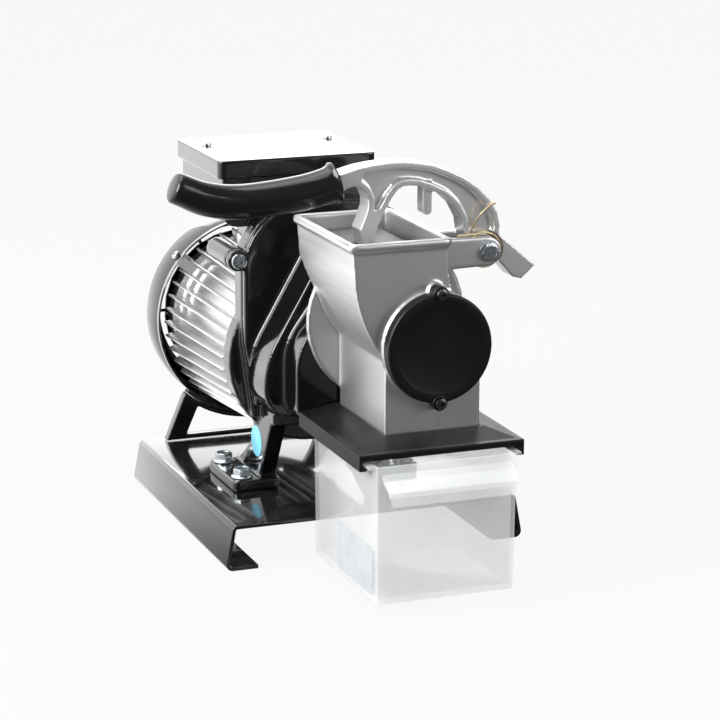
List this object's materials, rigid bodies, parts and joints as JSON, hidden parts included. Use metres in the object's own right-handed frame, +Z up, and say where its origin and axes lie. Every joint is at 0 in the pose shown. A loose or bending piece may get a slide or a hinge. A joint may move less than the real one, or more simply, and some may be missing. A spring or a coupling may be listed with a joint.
{
  "type": "electric grater",
  "caption": "Geared-motor grater: spring-held lever and pusher press food on a spinning drum above a pull-out drawer.",
  "frame": {"origin": "centre of the bounding box's bottom face, on the table", "axes": "+Z up, +Y from the drawer towards the fan, +X to the right seen from the drawer"},
  "size_m": [0.3126, 0.445, 0.3327],
  "materials": {
    "black_gloss_paint": "gloss black enamel",
    "cast_aluminium": "fine cast, satin",
    "polished_aluminium": "polished casting",
    "stainless_drum": "pressed stainless steel",
    "zinc_plated": "bright zinc plate",
    "yellow_zinc": "yellow zinc plate",
    "machined_steel": "machined",
    "lamination_steel": "dull laminated",
    "copper_winding": "varnished copper",
    "bronze": "sintered",
    "black_rubber": "matte",
    "gasket_fibre": "matte fibre",
    "black_plastic": "satin black",
    "grip_plastic": "satin black",
    "white_plastic": "off-white",
    "clear_plastic": "clear moulded"
  },
  "bodies": {
    "stand": {"base_plate": "black_gloss_paint", "body_screw_left": "zinc_plated", "body_screw_right": "zinc_plated", "box_pedestal": "black_gloss_paint", "cable_gland": "black_plastic", "capacitor": "white_plastic", "case_gasket": "gasket_fibre", "case_screw_1": "zinc_plated", "case_screw_2": "zinc_plated", "case_screw_3": "zinc_plated", "cover_bush": "bronze", "cover_screw_1": "zinc_plated", "cover_screw_2": "zinc_plated", "cowl_screw_1": "zinc_plated", "cowl_screw_2": "zinc_plated", "cowl_screw_3": "zinc_plated", "discharge_collar": "black_plastic", "drum_cover": "black_plastic", "fan_cowl": "black_gloss_paint", "foot_bolt_1": "zinc_plated", "foot_bolt_2": "zinc_plated", "foot_bolt_3": "zinc_plated", "foot_bolt_4": "zinc_plated", "gear_case": "black_gloss_paint", "gear_case_cover": "black_gloss_paint", "grater_body": "cast_aluminium", "lid_screw_1": "zinc_plated", "lid_screw_2": "zinc_plated", "motor_bearing_front": "machined_steel", "motor_bearing_rear": "machined_steel", "motor_end_shield": "cast_aluminium", "motor_housing": "cast_aluminium", "nut_strip_left": "zinc_plated", "nut_strip_right": "zinc_plated", "oil_seal": "black_rubber", "output_bearing_front": "machined_steel", "output_bearing_rear": "machined_steel", "pivot_bolt": "zinc_plated", "pivot_nut": "zinc_plated", "rear_support": "black_gloss_paint", "rocker_frame": "black_plastic", "stator_core": "lamination_steel", "stator_winding": "copper_winding", "support_pad": "black_rubber", "switch_box": "black_gloss_paint", "switch_box_lid": "black_gloss_paint", "torsion_spring": "yellow_zinc"},
    "lever_arm": {"lever": "polished_aluminium", "lever_grip": "grip_plastic", "pusher": "cast_aluminium", "pusher_screw": "stainless_drum"},
    "drum_unit": {"grating_drum": "stainless_drum", "output_shaft": "machined_steel", "drive_gear": "machined_steel"},
    "rotor_unit": {"rotor": "lamination_steel", "motor_shaft": "machined_steel", "pinion_gear": "machined_steel", "cooling_fan": "black_plastic"},
    "drawer_box": {"drawer": "clear_plastic"},
    "rocker": {"rocker_button": "black_plastic"}
  },
  "joints": [
    {"name": "lever_hinge", "type": "hinge", "parent": "stand", "child": "lever_arm", "pos_m": [0.09921, -0.1025, 0.257], "axis": [0, 1, 0], "range_deg": [-6.5, 75], "stiffness_Nm_per_rad": 1.5, "springref_deg": 34.38, "deforming": ["torsion_spring"]},
    {"name": "drawer_slide", "type": "slide", "parent": "stand", "child": "drawer_box", "axis": [0, -1, 0], "range_m": [0, 0.12]},
    {"name": "drum_spin", "type": "hinge", "parent": "stand", "child": "drum_unit", "pos_m": [0.03471, -0.159, 0.198], "axis": [0, 1, 0], "continuous": true},
    {"name": "rotor_spin", "type": "hinge", "parent": "stand", "child": "rotor_unit", "pos_m": [0.00581, 0.0715, 0.14713], "axis": [0, 1, 0], "continuous": true},
    {"name": "rocker_hinge", "type": "hinge", "parent": "stand", "child": "rocker", "pos_m": [0.05371, 0.0649, 0.28194], "axis": [0, 0, 1], "range_deg": [0, 16]}
  ],
  "couplings": [
    {"joint": "rotor_spin", "follows": "drum_spin", "ratio": -5}
  ]
}
